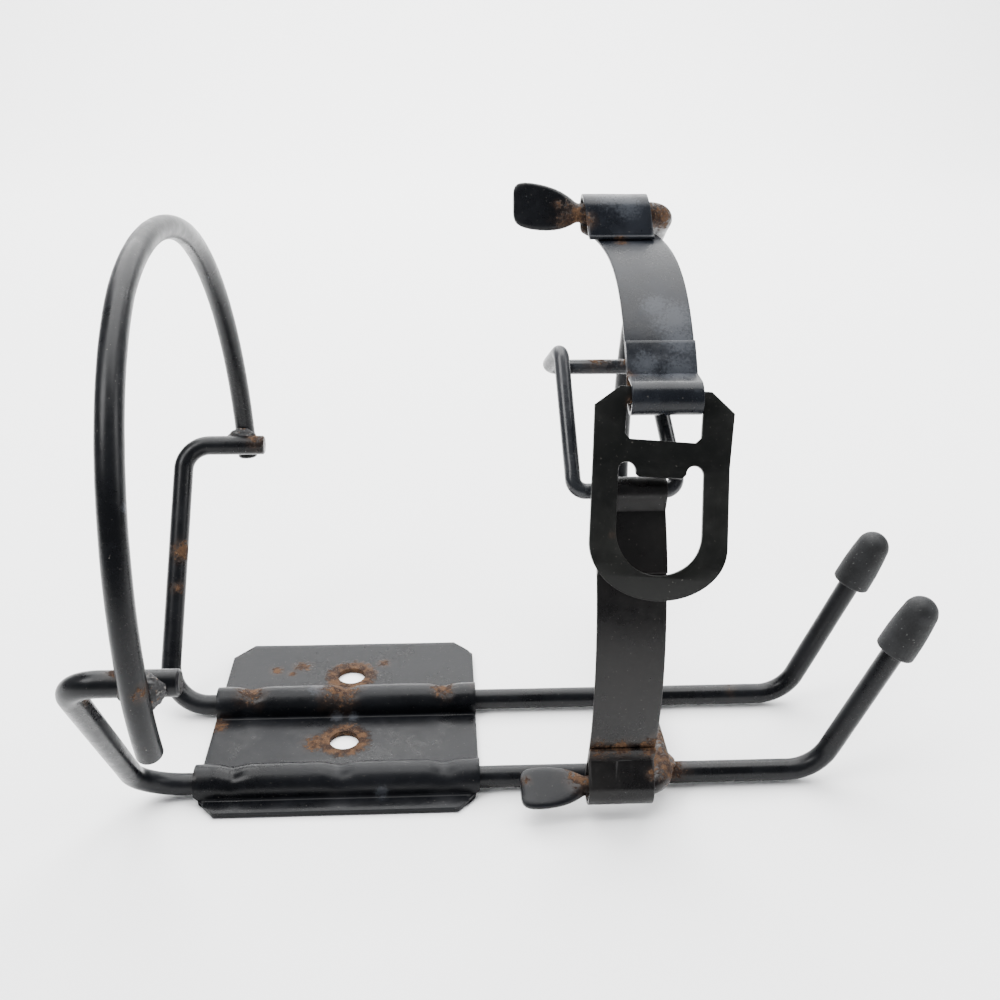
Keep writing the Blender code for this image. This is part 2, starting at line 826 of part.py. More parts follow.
def bead(name, at, stretch, neighbours):
    """A lump of weld metal, cut back so that it stays clear of the wires that it joins."""
    form = bmesh.new()
    bmesh.ops.create_uvsphere(form, u_segments=16, v_segments=10, radius=BEAD_R)
    bmesh.ops.scale(form, vec=stretch, verts=form.verts)
    data = bpy.data.meshes.new(name)
    form.to_mesh(data)
    form.free()
    made = add_part(name, data, bead_metal(name), at)
    for number, (path, radius) in enumerate(neighbours, 1):
        tool = bpy.data.objects.new("%s_relief_%d" % (name, number), wire_data(name, path, radius + GAP))
        CUTTERS.objects.link(tool)
        cutter = mesh_from_curve(tool)
        cutter.parent = MIDLINE
        add_cutter(cutter)
        cut(made, cutter)
    shade_round(data)


def welds():
    hoop_y = (ARM_HALF_SPAN + hoop_wire_y()) / 2
    hoop = ([hoop_frame() @ point for point in hoop_path()], WIRE_R)
    bow = (bow_path(), WIRE_R)
    for name, side, angle in (("front", -1, FRONT_HOOK_ANGLE), ("rear", 1, REAR_HOOK_ANGLE)):
        rod = (rod_path(side, angle), WIRE_R)
        hoop_spot = Vector((HOOP_X, side * hoop_y, ARM_Z))
        bow_spot = Vector((BOW_FLOOR_X, side * ROD_SPACING / 2, (ROD_Z + bow_floor()) / 2))
        bead("hoop_weld_" + name, hoop_spot, (1.0, 0.8, 0.9), (rod, hoop))
        bead("bow_weld_" + name, bow_spot, (1.0, 1.0, 0.8), (rod, bow))


def main():
    base_plate()
    rods()
    caps()
    base_hoop()
    strap_bow()
    straps()
    lever()
    bail()
    welds()


main()
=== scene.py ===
"""Studio scene and detailed visual model of the wire wall bracket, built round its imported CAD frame."""

import json
import math

import bmesh
import bpy
from mathutils import Matrix, Vector, noise
from mathutils.geometry import delaunay_2d_cdt


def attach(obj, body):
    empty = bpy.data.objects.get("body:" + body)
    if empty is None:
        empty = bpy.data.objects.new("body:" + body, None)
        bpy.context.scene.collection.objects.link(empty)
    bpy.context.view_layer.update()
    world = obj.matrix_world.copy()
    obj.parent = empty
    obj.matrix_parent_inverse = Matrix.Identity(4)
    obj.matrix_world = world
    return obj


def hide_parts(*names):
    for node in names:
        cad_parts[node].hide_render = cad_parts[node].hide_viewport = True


MM = 0.001
SHARP_FROM = math.radians(40.0)
WIRE_SIDES = 28
SHIFT = Vector((0.0, 8.0, 0.0))


CAMERA_LENS = 40.95
CAMERA_AT = Vector((0.02933, -0.2643, 0.20805))
CAMERA_RIGHT = Vector((0.9986, -0.0519, 0.0109))
CAMERA_UP = Vector((0.0123, 0.4259, 0.9047))


def make_camera():
    """The photo's own view of the bracket."""
    camera = bpy.data.objects.new("camera", bpy.data.cameras.new("camera"))
    bpy.context.scene.collection.objects.link(camera)
    camera.data.sensor_width = 36.0
    camera.data.lens = CAMERA_LENS
    camera.data.clip_start = 0.01
    back = CAMERA_RIGHT.cross(CAMERA_UP)
    place = Matrix((CAMERA_RIGHT, CAMERA_UP, back)).transposed().to_4x4()
    place.translation = CAMERA_AT
    camera.matrix_world = place
    bpy.context.scene.camera = camera


make_camera()
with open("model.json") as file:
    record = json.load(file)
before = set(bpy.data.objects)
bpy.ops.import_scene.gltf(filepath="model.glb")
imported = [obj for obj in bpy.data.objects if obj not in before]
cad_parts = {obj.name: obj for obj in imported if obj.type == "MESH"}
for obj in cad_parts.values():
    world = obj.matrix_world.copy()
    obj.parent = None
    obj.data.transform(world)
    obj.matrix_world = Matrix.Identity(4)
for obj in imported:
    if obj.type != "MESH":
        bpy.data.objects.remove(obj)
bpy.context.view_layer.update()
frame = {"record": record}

# ---------------------------------------------------------------- dimensions, in millimetres

GAP = 0.3
WIRE_R = 3.0
ROD_Y = 18.5
ROD_Z = 3.2
AXIS_Z = 77.0
ARM = dict(x=-51.6, foot_x=-54.1, y=66.3, z=68.8, tip_x=-26.6, bend=8.0, foot_bend=12.0)
HOOK_X = {-1: 133.8, 1: 134.8}
HOOK_LENGTH = 55.0
HOOK_BEND = 12.0
HOOK_ANGLES = {-1: math.radians(66.5), 1: math.radians(67.5)}

HOOP_X = -34.1
HOOP_LEAN = math.radians(2.6)
HOOP_ENDS = (math.radians(-101.5), math.radians(110.0))

BOW_TOP_X = 91.0
BOW_FLOOR_X = 88.6
BOW_R = 80.0
BOW_BEND = 5.4
BOW_FLOOR_BEND = 10.8
BOW_DIPS_Y = -19.0
BOW_FLATTENS = math.radians(36.0)
BOW_FLOOR = ROD_Z + 2 * WIRE_R + GAP
TOP_PIN = Vector((38.0, AXIS_Z + math.sqrt(BOW_R**2 - 38.0**2)))
LOWER_PIN = Vector((-29.5, 8.2))
NECK_X = 67.2
PADDLE = dict(length=17.5, width=12.2, thickness=2.4, neck=2.5)

STRAP = dict(width=17.5, t=1.0, radius=69.0)
PIN_LOOP_ROOM = 1.0
FLAP_RISE = math.radians(55.0)
LOWER_STRAP = dict(x=76.3, chord=82.8, lean=math.radians(8.1), pin_flap=12.5, bail_flap=20.0)
UPPER_STRAP = dict(x=77.0, chord=62.2, dip=math.radians(33.3), pin_flap=9.0, lever_flap=15.0, drift=7.1)
BAIL_PIVOT = LOWER_PIN + LOWER_STRAP["chord"] * Vector((
    math.sin(LOWER_STRAP["lean"]),
    math.cos(LOWER_STRAP["lean"]),
))
LEVER_PIVOT = TOP_PIN - UPPER_STRAP["chord"] * Vector((
    math.cos(UPPER_STRAP["dip"]),
    math.sin(UPPER_STRAP["dip"]),
))

LEVER = dict(t=1.5, hang=math.radians(25.2), skew=math.radians(4.5), bar=4.2, top=11.25, loop_room=0.9)
LEVER_FORM = dict(shoulder=17.2, drop=2.8, half=16.8, length=49.6, low_round=13.6)
LEVER_SLOT = dict(half=9.4, side=9.3, bottom=10.6, corner=1.3)
LEVER_GRIP = dict(half=10.5, top=16.2, centre=33.0, tab=6.2)
LEVER_BENDS = ((16.6, math.radians(-9.0), 3.0), (40.0, math.radians(16.0), 4.0))

BAIL = dict(r=2.0, loop_room=0.4, half=13.1, top_half=11.2, leg=37.2, hook=15.0, shift=-1.0, drift=-3.8)
BAIL_LEAN = math.radians(39.0)
BAIL_HOOK_DROP = math.radians(-35.0)
BAIL_HOOK_SPREAD = -2.0
BAIL_BENDS = (3.2, 3.2, 3.0, 3.0, 3.0, 3.0)

PLATE = dict(half=39.0, front=-29.0, rear=54.0, t=1.5, corner_x=6.0, corner_y=7.2)
CHANNEL_ROOM = 0.7
HOLES = ((0.0, 1.8), (0.0, 35.2))
HOLE_R = 4.25
CRIMPS = (-29.0, 0.0, 29.0)
CRIMP_WIDTH = 2.9
CRIMP_DEPTH = 1.05

CAP = dict(length=17.6, tip_r=4.7, r=5.4, bore_r=3.3, bore=13.2, on_wire=12.9)
HOOP_WELD = (5.0, 2.9, 4.4)
BOW_WELD = (5.0, 5.0, 3.1)


# ---------------------------------------------------------------- mesh helpers

def place_mesh(name, verts, faces, body, node, made_of):
    """A mesh in millimetres on the bracket's midline, put in the row frame and tied to its body."""
    data = bpy.data.meshes.new(name)
    data.from_pydata([(Vector(v) + SHIFT) * MM for v in verts], [], faces)
    form = bmesh.new()
    form.from_mesh(data)
    bmesh.ops.recalc_face_normals(form, faces=form.faces)
    form.to_mesh(data)
    form.free()
    return place_data(name, data, body, node, made_of)


def place_data(name, data, body, node, made_of):
    """A finished mesh as a piece that rides its body and stands in for its CAD node."""
    piece = bpy.data.objects.new(name, data)
    bpy.context.scene.collection.objects.link(piece)
    data.materials.clear()
    data.materials.append(made_of)
    data.shade_smooth()
    data.set_sharp_from_angle(angle=SHARP_FROM)
    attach(piece, body)
    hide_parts(node)
    frame_slot(node)
    return piece


def frame_slot(node):
    """The material slot that the record gives a node."""
    for entry in frame["record"]["subparts"]:
        if entry["node"] == node:
            return entry["material_slot"]
    return None


def as_sheet(piece, thickness, rim):
    """Gives a one-layer mesh its thickness, evenly to both sides, and softens its cut edges."""
    sheet = piece.modifiers.new("sheet", "SOLIDIFY")
    sheet.thickness = thickness * MM
    sheet.offset = 0.0
    edge = piece.modifiers.new("edge", "BEVEL")
    edge.width = rim * MM
    edge.segments = 2
    edge.limit_method = "ANGLE"
    edge.angle_limit = math.radians(62.0)


def rounded_path(points, radii, step=math.radians(4.0)):
    """The points joined by straight runs, with each inner corner turned on its radius."""
    points = [Vector(p) for p in points]
    path = [points[0]]
    for before, corner, after, radius in zip(points, points[1:], points[2:], radii):
        into = (before - corner).normalized()
        out = (after - corner).normalized()
        turn = math.pi - into.angle(out)
        if radius <= 0.0 or turn < 1e-4:
            path.append(corner)
            continue
        reach = radius * math.tan(turn / 2)
        centre = corner + (into + out).normalized() * (radius / math.cos(turn / 2))
        start = corner + into * reach - centre
        axis = start.cross(corner + out * reach - centre).normalized()
        steps = max(2, math.ceil(turn / step))
        path += [centre + Matrix.Rotation(turn * i / steps, 3, axis) @ start for i in range(steps + 1)]
    path.append(points[-1])
    return path


def divided(path, most):
    """The same path with no step longer than the given length."""
    out = [path[0]]
    for a, b in zip(path, path[1:]):
        count = max(1, math.ceil((b - a).length / most))
        out += [a.lerp(b, i / count) for i in range(1, count + 1)]
    return out


def skin(rings, closed=False):
    """Vertices and faces of a tube through rings of equal count, capped unless it closes on itself."""
    count = len(rings[0])
    verts = [p for ring in rings for p in ring]
    faces = []
    pairs = len(rings) if closed else len(rings) - 1
    for r in range(pairs):
        a = r * count
        b = ((r + 1) % len(rings)) * count
        for i in range(count):
            j = (i + 1) % count
            faces.append((a + i, a + j, b + j, b + i))
    if not closed:
        faces.append(tuple(range(count)))
        faces.append(tuple((len(rings) - 1) * count + i for i in reversed(range(count))))
    return verts, faces


def wire_rings(path, radius, sides=WIRE_SIDES, closed=False, wobble=0.0):
    """Round sections carried along a path without twist."""
    rings = []
    total = len(path)
    side = Vector((0.31, 0.52, 0.79))
    for i, point in enumerate(path):
        if closed:
            ahead = (path[(i + 1) % total] - path[i - 1]).normalized()
        else:
            ahead = (path[min(i + 1, total - 1)] - path[max(i - 1, 0)]).normalized()
        side = (side - ahead * side.dot(ahead)).normalized()
        third = ahead.cross(side)
        r = radius + wobble * noise.noise(point * 0.35)
        ring = []
        for k in range(sides):
            angle = 2 * math.pi * k / sides
            ring.append(point + side * (r * math.cos(angle)) + third * (r * math.sin(angle)))
        rings.append(ring)
    return rings


def chamfered(rings, path, cut=0.45):
    """Shrinks the last rings of an open wire so that its cut ends have a small bevel."""
    for end, near in ((0, 1), (-1, -2)):
        centre = path[end]
        inward = (path[near] - centre).normalized()
        ring = rings[end]
        small = [centre + (p - centre) * 0.84 for p in ring]
        back = [p + inward * cut for p in ring]
        if end == 0:
            rings = [small, back] + rings[1:]
        else:
            rings = rings[:-1] + [back, small]
    return rings


def wire(name, path, node, made_of):
    """An open length of the bracket's wire, welded into the fixed bracket."""
    path = divided(path, 4.0)
    rings = wire_rings(path, WIRE_R, wobble=0.03)
    verts, faces = skin(chamfered(rings, path))
    place_mesh(name, verts, faces, "bracket", node, made_of)


# ---------------------------------------------------------------- materials

class Paint:
    """A small node-graph builder over one Principled material."""

    def __init__(self, name):
        self.made = bpy.data.materials.new(name)
        self.made.use_nodes = True
        self.tree = self.made.node_tree
        self.shader = self.tree.nodes["Principled BSDF"]
        self.coord = self.new("ShaderNodeTexCoord").outputs["Object"]

    def new(self, kind):
        return self.tree.nodes.new(kind)

    def put(self, socket, value):
        if isinstance(value, bpy.types.NodeSocket):
            self.tree.links.new(value, socket)
        elif hasattr(value, "__len__") and len(value) == 3 and socket.type == "RGBA":
            socket.default_value = (*value, 1.0)
        else:
            socket.default_value = value

    def noise(self, scale, detail=4.0, rough=0.55, shift=0.0):
        mapping = self.new("ShaderNodeMapping")
        self.put(mapping.inputs["Vector"], self.coord)
        mapping.inputs["Location"].default_value = (shift, shift * 0.7, shift * 1.3)
        made = self.new("ShaderNodeTexNoise")
        self.put(made.inputs["Vector"], mapping.outputs["Vector"])
        made.inputs["Scale"].default_value = scale
        made.inputs["Detail"].default_value = detail
        made.inputs["Roughness"].default_value = rough
        return made.outputs["Fac"]

    def math(self, kind, a, b=0.0):
        made = self.new("ShaderNodeMath")
        made.operation = kind
        self.put(made.inputs[0], a)
        self.put(made.inputs[1], b)
        return made.outputs[0]

    def ramp(self, value, low, high, to_low=0.0, to_high=1.0):
        made = self.new("ShaderNodeMapRange")
        made.clamp = True
        made.interpolation_type = "SMOOTHSTEP"
        self.put(made.inputs["Value"], value)
        made.inputs["From Min"].default_value = low
        made.inputs["From Max"].default_value = high
        made.inputs["To Min"].default_value = to_low
        made.inputs["To Max"].default_value = to_high
        return made.outputs["Result"]

    def mix(self, share, a, b):
        made = self.new("ShaderNodeMix")
        made.data_type = "RGBA"
        self.put(made.inputs["Factor"], share)
        self.put(made.inputs[6], a)
        self.put(made.inputs[7], b)
        return made.outputs[2]

    def spots(self, places, ragged=1.0, scale=700.0, shift=0.0, soft=0.17):
        """1 near any of the places (x, y, z, radius in mm on the midline), with ragged edges."""
        edge = self.noise(scale, 5.0, 0.65, shift=shift)
        total = None
        for x, y, z, radius in places:
            away = self.new("ShaderNodeVectorMath")
            away.operation = "DISTANCE"
            self.put(away.inputs[0], self.coord)
            away.inputs[1].default_value = (Vector((x, y, z)) + SHIFT) * MM
            share = self.math("MULTIPLY", away.outputs["Value"], 1.0 / (radius * MM))
            frayed = self.math("MULTIPLY", self.math("SUBTRACT", edge, 0.5), 2.6 * ragged)
            share = self.math("ADD", share, frayed)
            one = self.ramp(share, 1.0 + soft, 1.0 - soft)
            total = one if total is None else self.math("MAXIMUM", total, one)
        return total

    def bump(self, height, strength, distance=0.0003, after=None):
        made = self.new("ShaderNodeBump")
        made.inputs["Strength"].default_value = strength
        made.inputs["Distance"].default_value = distance
        self.put(made.inputs["Height"], height)
        if after is not None:
            self.put(made.inputs["Normal"], after)
        return made.outputs["Normal"]


def resized(places, share):
    return [(x, y, z, share * radius) for x, y, z, radius in places]


def worn_paint(name, shades, rough, rust, scuffs_and_highlights=(), rings=(), specks=0.5, rust_light=1.0, spec=0.24):
    """Old semi-gloss black paint with dust, pale patches (scuffs on some parts, painted highlights on the
    upper strap), patches of rust and firm rust rings.
    """
    p = Paint(name)
    dark, light = shades
    cloud = p.noise(45.0, 5.0, 0.6)
    fine = p.noise(420.0, 5.0, 0.6, shift=3.0)
    colour = p.mix(p.ramp(cloud, 0.34, 0.68), dark, light)
    colour = p.mix(p.ramp(fine, 0.55, 0.80, 0.0, 0.35), colour, tuple(2.0 * c + 0.002 for c in light))
    dust = p.ramp(p.noise(1700.0, 2.0, 0.5, shift=7.0), 0.70, 0.76, 0.0, specks)
    colour = p.mix(dust, colour, (0.085, 0.080, 0.072))
    gloss = p.math("ADD", p.math("MULTIPLY", cloud, 0.6), p.math("MULTIPLY", fine, 0.4))
    shine = p.ramp(gloss, 0.35, 0.65, rough - 0.07, rough + 0.10)
    p.shader.inputs["IOR"].default_value = 1.42
    lift = p.bump(p.noise(900.0, 3.0, 0.5, shift=11.0), 0.10, 0.0002)
    if scuffs_and_highlights:
        # Pale blue-grey patches: real scuffs on some parts, painted highlights on the upper strap.
        scuff_and_highlight_mask = p.spots(scuffs_and_highlights, 1.3, 1500.0, shift=21.0, soft=0.6)
        colour = p.mix(p.math("MULTIPLY", scuff_and_highlight_mask, 0.34), colour, (0.075, 0.082, 0.095))
    rusty = p.spots(resized(rust, 0.80), 1.5, 900.0, shift=5.0, soft=0.30)
    if rings:
        rusty = p.math("MAXIMUM", rusty, p.spots(rings, 0.35, 700.0, shift=6.0, soft=0.16))
    stain = p.spots(resized(rust, 1.15), 0.7, 300.0, shift=15.0, soft=0.5)
    grain = p.noise(2600.0, 4.0, 0.7, shift=9.0)
    colour = p.mix(p.math("MULTIPLY", stain, 0.45), colour, (0.030, 0.018, 0.012))
    cake = p.ramp(p.noise(420.0, 4.0, shift=13.0), 0.42, 0.60)
    deep = p.mix(cake, (0.020, 0.011, 0.008), (0.068, 0.036, 0.019))
    bloom = tuple(rust_light * c for c in (0.165, 0.105, 0.062))
    crust = p.mix(p.ramp(grain, 0.54, 0.72), deep, bloom)
    colour = p.mix(p.math("MULTIPLY", rusty, 0.92), colour, crust)
    shine = p.math("ADD", shine, p.math("MULTIPLY", rusty, 0.45))
    lift = p.bump(p.math("MULTIPLY", rusty, grain), 0.45, 0.0005, lift)
    p.put(p.shader.inputs["Specular IOR Level"], p.ramp(rusty, 0.0, 1.0, spec, 0.12))
    p.put(p.shader.inputs["Base Color"], colour)
    p.put(p.shader.inputs["Roughness"], shine)
    p.put(p.shader.inputs["Normal"], lift)
    return p.made


def rubber(name):
    """Matt black rubber with a little pale dust."""
    p = Paint(name)
    cloud = p.noise(160.0, 5.0, 0.6)
    fine = p.noise(1800.0, 3.0, 0.6, shift=2.0)
    colour = p.mix(p.ramp(cloud, 0.35, 0.66), (0.0040, 0.0043, 0.0048), (0.0100, 0.0105, 0.0115))
    dust = p.ramp(p.noise(1300.0, 2.0, 0.5, shift=6.0), 0.66, 0.73, 0.0, 0.30)
    colour = p.mix(dust, colour, (0.13, 0.13, 0.125))
    p.put(p.shader.inputs["Base Color"], colour)
    p.put(p.shader.inputs["Roughness"], p.ramp(fine, 0.3, 0.7, 0.52, 0.68))
    p.shader.inputs["Specular IOR Level"].default_value = 0.22
    p.put(p.shader.inputs["Normal"], p.bump(p.math("ADD", fine, cloud), 0.20, 0.0003))
    return p.made


def burnt(name, paintier):
    """Weld metal under old paint, rusty in patches."""
    p = Paint(name)
    cloud = p.noise(520.0, 5.0, 0.65)
    fine = p.noise(1500.0, 4.0, 0.6, shift=4.0)
    crust = p.mix(p.ramp(fine, 0.45, 0.70), (0.055, 0.028, 0.015), (0.20, 0.105, 0.052))
    colour = p.mix(p.ramp(cloud, paintier - 0.06, paintier + 0.06), (0.016, 0.016, 0.017), crust)
    grey = p.ramp(p.noise(900.0, 3.0, shift=8.0), 0.58, 0.68, 0.0, 0.55)
    colour = p.mix(grey, colour, (0.20, 0.19, 0.175))
    p.put(p.shader.inputs["Base Color"], colour)
    p.put(p.shader.inputs["Roughness"], p.ramp(fine, 0.3, 0.7, 0.45, 0.80))
    p.shader.inputs["Specular IOR Level"].default_value = 0.35
    p.put(p.shader.inputs["Normal"], p.bump(p.math("ADD", fine, cloud), 0.65, 0.0006))
    return p.made


def floor_paint():
    """A plain pale studio surface."""
    p = Paint("pale_floor")
    tone = p.noise(3.0, 2.0)
    p.put(p.shader.inputs["Base Color"], p.mix(tone, (0.95, 0.95, 0.95), (0.97, 0.97, 0.97)))
    p.put(p.shader.inputs["Roughness"], p.ramp(tone, 0.2, 0.8, 0.85, 0.95))
    p.shader.inputs["Specular IOR Level"].default_value = 0.1
    return p.made


BLACK = ((0.0012, 0.0014, 0.0020), (0.0034, 0.0038, 0.0050))
STRAP_BLACK = ((0.0030, 0.0038, 0.0056), (0.0100, 0.0118, 0.0160))
BROWN_BLACK = ((0.0024, 0.0022, 0.0024), (0.0060, 0.0054, 0.0052))
OLIVE_BLACK = ((0.0020, 0.0022, 0.0020), (0.0046, 0.0048, 0.0042))
CUT_EDGE = ((0.010, 0.010, 0.009), (0.050, 0.048, 0.042))
BAIL_GREY = ((0.007, 0.008, 0.010), (0.022, 0.023, 0.026))


# ---------------------------------------------------------------- plate

def plate_line():
    """The plate's mid-surface across the rods: flat lands and two half-round channels with flared feet."""
    half_t = PLATE["t"] / 2
    r = WIRE_R + CHANNEL_ROOM + half_t
    corners = [(0.0, PLATE["front"], half_t)]
    radii = []
    for side in (-1, 1):
        y = side * ROD_Y
        corners.append((0.0, y - r, half_t))
        radii.append(1.5)
        for k in range(0, 181, 12):
            a = math.pi - math.radians(k)
            corners.append((0.0, y + r * math.cos(a), ROD_Z + r * math.sin(a)))
            radii.append(0.0)
        corners.append((0.0, y + r, half_t))
        radii.append(1.5)
    corners.append((0.0, PLATE["rear"], half_t))
    path = rounded_path(corners, radii, math.radians(12.0))
    clean = [path[0]]
    for point in path[1:]:
        if (point - clean[-1]).length > 0.05:
            clean.append(point)
    return divided(clean, 2.0)


def plate_form():
    """Vertices and faces of the plate's mid-surface, with its corners, screw holes and crimps."""
    line = plate_line()
    run = [0.0]
    for a, b in zip(line, line[1:]):
        run.append(run[-1] + (b - a).length)

    def run_at(y):
        for (a, b, s, e) in zip(line, line[1:], run, run[1:]):
            if a.y <= y <= b.y and b.y > a.y:
                return s + (e - s) * (y - a.y) / (b.y - a.y)
        return run[-1]

    def lifted(x, s):
        k = 0
        while k < len(run) - 2 and s > run[k + 1]:
            k += 1
        share = (s - run[k]) / (run[k + 1] - run[k])
        at = line[k].lerp(line[k + 1], share)
        height = max(0.0, at.z - 1.2) / 6.0
        push = 0.0
        for c in CRIMPS:
            push += math.exp(-(((x - c) / CRIMP_WIDTH) ** 2))
        push += 0.10 * noise.noise(Vector((x * 0.12, at.y * 0.12, 2.0)))
        mid = math.copysign(ROD_Y, at.y)
        dy = -0.45 * (at.y - mid) / 4.5 * push * min(1.0, height * 1.6)
        warp = 0.12 * noise.noise(Vector((x * 0.035, at.y * 0.035, 7.0))) * min(1.0, abs(at.y - 8) / 30)
        return Vector((x, at.y + dy, at.z - CRIMP_DEPTH * push * height * height + warp))

    half, cx, cy = PLATE["half"], PLATE["corner_x"], PLATE["corner_y"]
    end = run[-1]
    outline = [(-half, cy), (-half + cx, 0.0), (half - cx, 0.0), (half, cy)]
    outline += [(half, end - cy), (half - cx, end), (-half + cx, end), (-half, end - cy)]
    edge = []
    for a, b in zip(outline, outline[1:] + outline[:1]):
        a, b = Vector(a), Vector(b)
        count = max(1, round((b - a).length / 1.3))
        edge += [a.lerp(b, i / count) for i in range(count)]
    rings = [edge]
    for x, y in HOLES:
        s = run_at(y)
        rings.append([Vector((x + HOLE_R * math.cos(t), s + HOLE_R * math.sin(t)))
                      for t in (2 * math.pi * i / 40 for i in range(40))])
    holes = [(Vector((x, run_at(y))), HOLE_R) for x, y in HOLES]

    def inside(p, margin):
        if abs(p.x) > half - margin or not margin < p.y < end - margin:
            return False
        for sy in (p.y, end - p.y):
            if (half - abs(p.x)) / cx + sy / cy < 1.0 + margin / 4.5:
                return False
        return all((p - c).length > r + margin for c, r in holes)

    points, lines = [], []
    for ring in rings:
        first = len(points)
        points += ring
        lines += [(first + i, first + (i + 1) % len(ring)) for i in range(len(ring))]
    columns = 60
    for s in run[1:-1]:
        for i in range(1, columns):
            p = Vector((-half + 2 * half * i / columns, s))
            if inside(p, 0.7):
                points.append(p)
    flat, _, tris, *_ = delaunay_2d_cdt(points, lines, [], 0, 1e-5)
    faces = []
    for tri in tris:
        c = sum((flat[i] for i in tri), Vector((0.0, 0.0))) / 3
        if inside(c, -0.0005):
            faces.append(tuple(tri))
    return [lifted(p.x, p.y) for p in flat], faces


def build_plate():
    verts, faces = plate_form()
    rings = [(0.0, 1.8, 1.5, 7.3), (0.0, 35.2, 1.5, 7.8)]
    rust = [
        (-1.0, 27.0, 4.0, 4.6), (-29.0, 19.5, 6.5, 4.2), (-2.0, 19.5, 7.0, 5.6), (29.0, 19.0, 7.0, 3.4),
        (-24.0, 39.0, 1.5, 2.0), (-16.0, 41.0, 1.5, 2.6), (-19.0, 37.0, 1.5, 1.6), (-38.0, -20.0, 5.0, 2.0),
        (38.5, 19.0, 5.0, 2.4), (-8.0, 0.5, 1.5, 3.4), (10.0, 42.0, 1.5, 2.0), (-38.5, 10.0, 1.5, 3.0),
    ]
    scuffs_and_highlights = [(-3.0, 13.0, 1.8, 1.6), (2.0, 12.6, 1.8, 1.3), (-9.0, 19.0, 7.0, 2.4), (12.0, -24.0, 3.0, 1.6)]
    made_of = worn_paint("plate_paint", BLACK, 0.31, rust, scuffs_and_highlights, rings, spec=0.17)
    piece = place_mesh("plate_detailed", verts, faces, "bracket", "base_plate", made_of)
    up = sum(f.normal.z * f.area for f in piece.data.polygons)
    if up < 0:
        piece.data.flip_normals()
    as_sheet(piece, PLATE["t"], 0.22)


# ---------------------------------------------------------------- wires

def rod_path(side):
    angle = HOOK_ANGLES[side]
    y = side * ROD_Y
    corner = Vector((HOOK_X[side], y, ROD_Z))
    tip = corner + Vector((math.cos(angle), 0.0, math.sin(angle))) * HOOK_LENGTH
    points = [
        (ARM["tip_x"], side * ARM["y"], ARM["z"]),
        (ARM["x"], side * ARM["y"], ARM["z"]),
        (ARM["foot_x"], y, ROD_Z),
        corner,
        tip,
    ]
    return rounded_path(points, (ARM["bend"], ARM["foot_bend"], HOOK_BEND))


def build_rods():
    front_rust = [(-50.0, -60.0, 62.0, 2.2), (-40.0, -66.0, 72.0, 1.8), (92.0, -18.5, 6.0, 4.5)]
    rear_rust = [(-51.0, 45.0, 42.0, 3.2), (-52.0, 38.0, 33.0, 1.8), (-29.0, 66.3, 70.0, 3.0)]
    rear_rust.append((118.0, 18.5, 4.0, 2.0))
    for side, node, rust in ((-1, "front_rod", front_rust), (1, "rear_rod", rear_rust)):
        made_of = worn_paint(node + "_paint", BLACK, 0.30, rust, specks=0.45)
        wire(node + "_wire", rod_path(side), node, made_of)


def build_hoop():
    """The hoop, which leans back a little and, as in the photo, isn't quite flat."""
    radius = math.hypot(ARM["y"] + 2 * WIRE_R + GAP, AXIS_Z - ARM["z"])
    place = Matrix.Translation((HOOP_X, 0.0, ARM["z"])) @ Matrix.Rotation(-HOOP_LEAN, 4, "Y")
    path = []
    steps = 150
    for i in range(steps + 1):
        a = HOOP_ENDS[0] + (HOOP_ENDS[1] - HOOP_ENDS[0]) * i / steps
        point = place @ Vector((0.0, -radius * math.sin(a), AXIS_Z - ARM["z"] + radius * math.cos(a)))
        near = min(1.0, max(0.0, 0.5 - point.y / 60.0))
        point.x += 0.7 * (1.0 - near) - 1.3 * near * ((point.z - 100.0) / 50.0) ** 2
        path.append(point)
    rust = [(-33.5, -74.0, 72.0, 2.0), (-36.0, -60.0, 118.0, 1.2), (-36.0, -64.0, 112.0, 1.2)]
    scuffs_and_highlights = [(-36.0, -50.0, 131.0, 1.0), (-33.0, -66.0, 110.0, 0.9), (-33.0, 58.0, 116.0, 0.9)]
    made_of = worn_paint("hoop_paint", BLACK, 0.30, rust, scuffs_and_highlights, specks=0.6)
    wire("hoop_wire", path, "base_hoop", made_of)


def bow_x(z):
    """The bow leans: its x grows from the rods to the top pin."""
    return BOW_FLOOR_X + (BOW_TOP_X - BOW_FLOOR_X) * (z - BOW_FLOOR) / (TOP_PIN.y - BOW_FLOOR)


def bow_path():
    start = math.atan2(TOP_PIN.x, TOP_PIN.y - AXIS_Z)
    first = start + math.radians(7.0)
    last = math.pi - BOW_FLATTENS
    arc = []
    steps = 90
    for i in range(steps + 1):
        a = first + (last - first) * i / steps
        z = AXIS_Z + BOW_R * math.cos(a)
        arc.append(Vector((bow_x(z), BOW_R * math.sin(a), z)))
    head = rounded_path(((NECK_X, *TOP_PIN), (BOW_TOP_X, *TOP_PIN), arc[0]), (BOW_BEND,))
    floor_y = arc[-1].y - (arc[-1].z - BOW_FLOOR) / math.tan(BOW_FLATTENS)
    x = BOW_FLOOR_X
    dip = (x, BOW_DIPS_Y, BOW_FLOOR)
    corners = (arc[-1], (x, floor_y, BOW_FLOOR), dip, (x, *LOWER_PIN), (NECK_X, *LOWER_PIN))
    return head[:-1] + arc + rounded_path(corners, (BOW_FLOOR_BEND, 0.0, BOW_BEND))[1:]


def slab(half_u, half_v, square, sides):
    """A round section pressed flat; square is 1 for an ellipse and smaller for fuller corners."""
    ring = []
    for i in range(sides):
        a = 2 * math.pi * (i + 0.5) / sides
        c, s = math.cos(a), math.sin(a)
        u = half_u * math.copysign(abs(c) ** square, c)
        v = half_v * math.copysign(abs(s) ** square, s)
        ring.append((u, v))
    return ring


